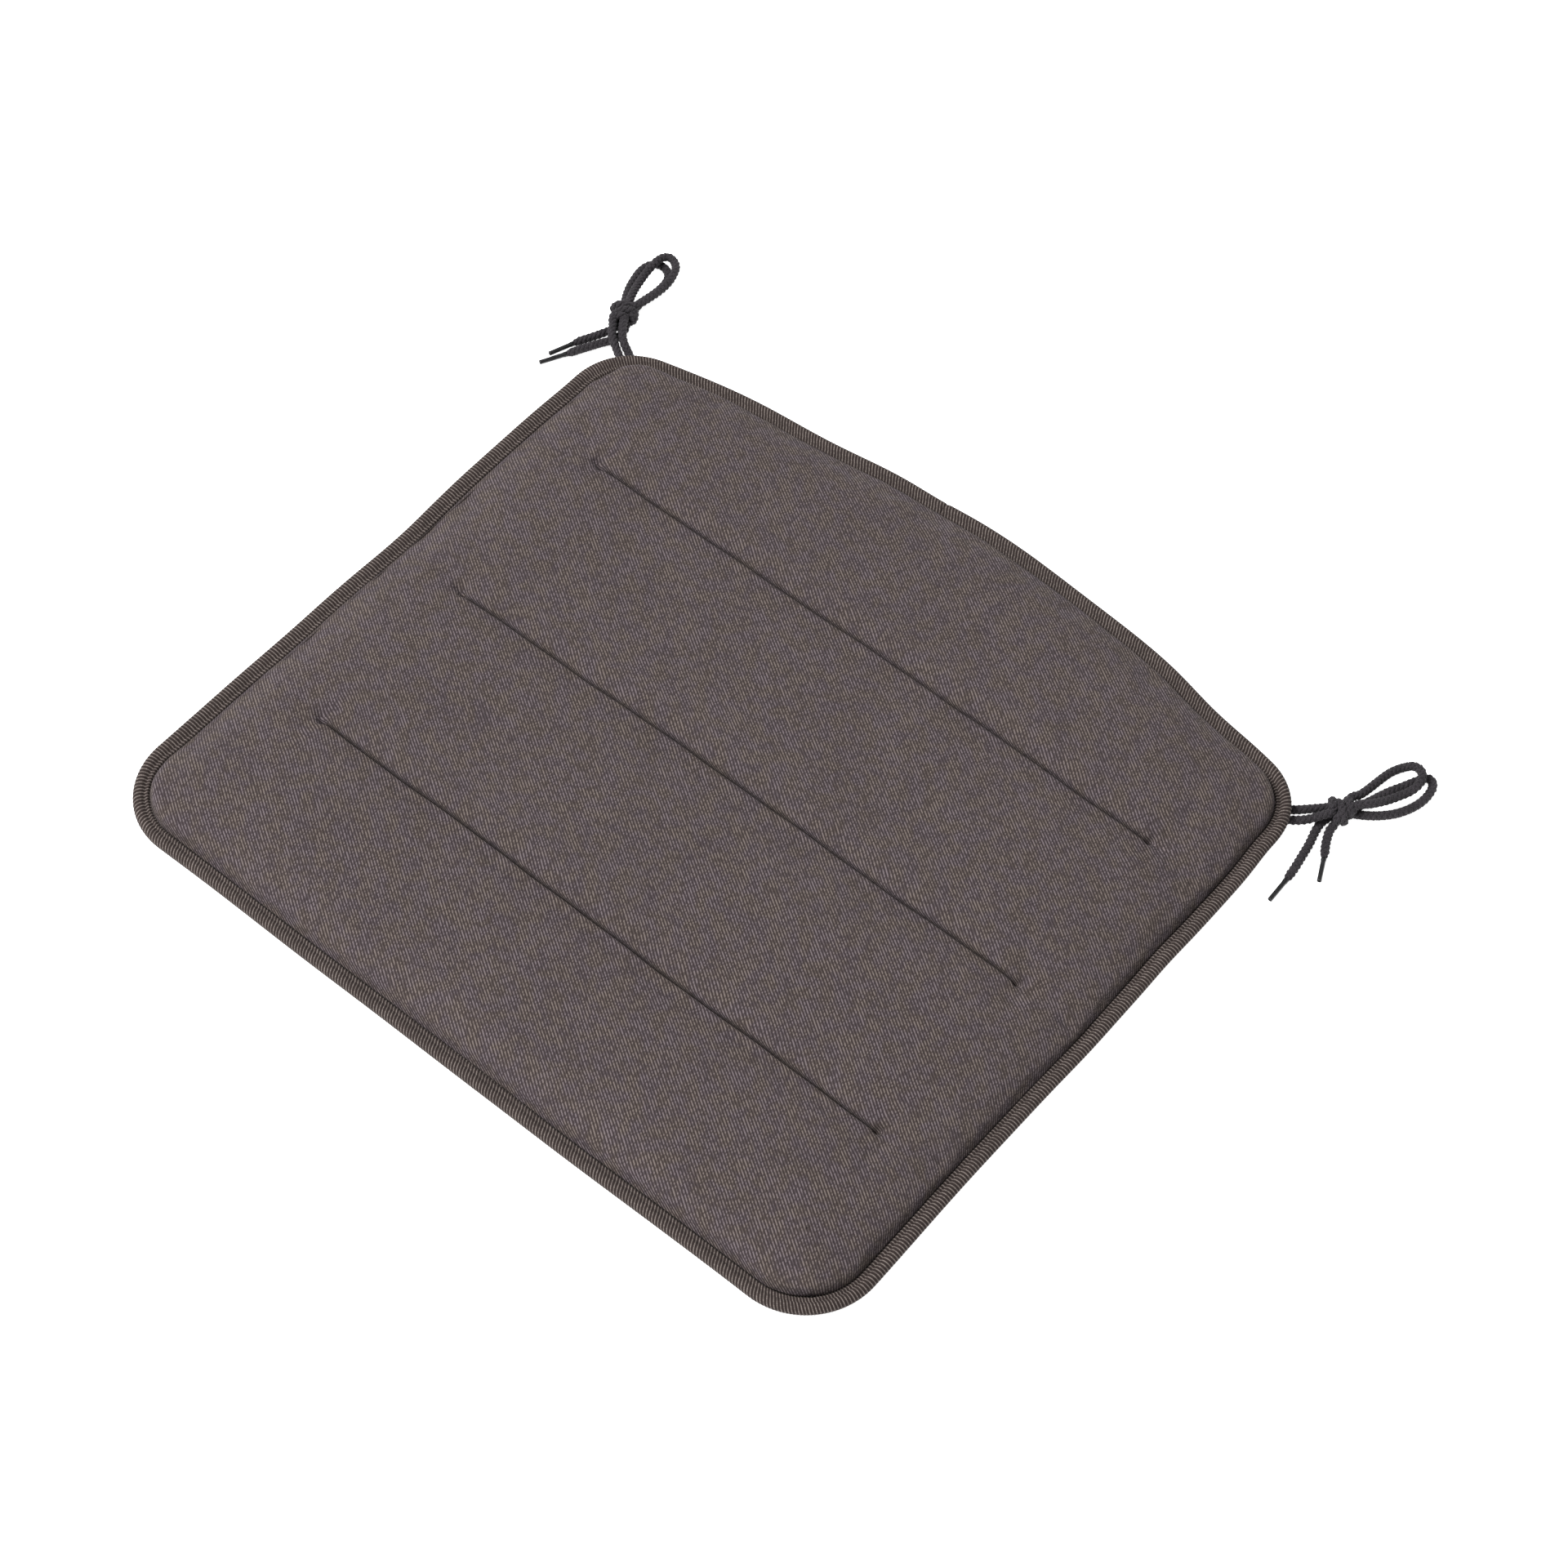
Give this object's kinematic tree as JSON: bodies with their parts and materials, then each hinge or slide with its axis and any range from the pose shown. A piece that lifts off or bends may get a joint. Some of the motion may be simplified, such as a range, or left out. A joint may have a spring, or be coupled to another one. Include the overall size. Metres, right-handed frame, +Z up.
{
  "type": "chair seat pad",
  "caption": "Flat rounded seat pad with piping round its edge, sewn cross channels and a tied braided cord at each back corner.",
  "frame": {"origin": "centre of the pad's own outline, on the surface that it lies on; the ties are not counted", "axes": "+X to the right of someone who stands in front of the pad and looks towards its back edge; +Y towards the back edge, the one with the ties; +Z up"},
  "size_m": [0.5051, 0.4322, 0.025],
  "materials": {
    "cover_twill": "ribbed twill, matt",
    "underside_twill": "ribbed twill, matt",
    "piping_twill": "bias-cut ribbed twill, matt",
    "foam": "open-cell foam",
    "filler_cord": "soft spun cord",
    "sewing_thread": "polyester thread",
    "tie_braid": "round braid, matt",
    "aglet_plastic": "smooth, glossy"
  },
  "bodies": {
    "root": {"cover_top": "cover_twill", "cover_underside": "underside_twill", "foam_core": "foam", "piping_sleeve": "piping_twill", "piping_filler_cord": "filler_cord", "seam_needle_thread": "sewing_thread", "seam_bobbin_thread": "sewing_thread", "channel_back_needle_thread": "sewing_thread", "channel_back_bobbin_thread": "sewing_thread", "channel_middle_needle_thread": "sewing_thread", "channel_middle_bobbin_thread": "sewing_thread", "channel_front_needle_thread": "sewing_thread", "channel_front_bobbin_thread": "sewing_thread", "tie_left_sewn_fold": "tie_braid", "tie_left_knot": "tie_braid", "tie_left_leg_1": "tie_braid", "tie_left_loop_1": "tie_braid", "tie_left_end_1": "tie_braid", "tie_left_aglet_1": "aglet_plastic", "tie_left_leg_2": "tie_braid", "tie_left_loop_2": "tie_braid", "tie_left_end_2": "tie_braid", "tie_left_aglet_2": "aglet_plastic", "tie_right_sewn_fold": "tie_braid", "tie_right_knot": "tie_braid", "tie_right_leg_1": "tie_braid", "tie_right_loop_1": "tie_braid", "tie_right_end_1": "tie_braid", "tie_right_aglet_1": "aglet_plastic", "tie_right_leg_2": "tie_braid", "tie_right_loop_2": "tie_braid", "tie_right_end_2": "tie_braid", "tie_right_aglet_2": "aglet_plastic"}
  },
  "joints": []
}
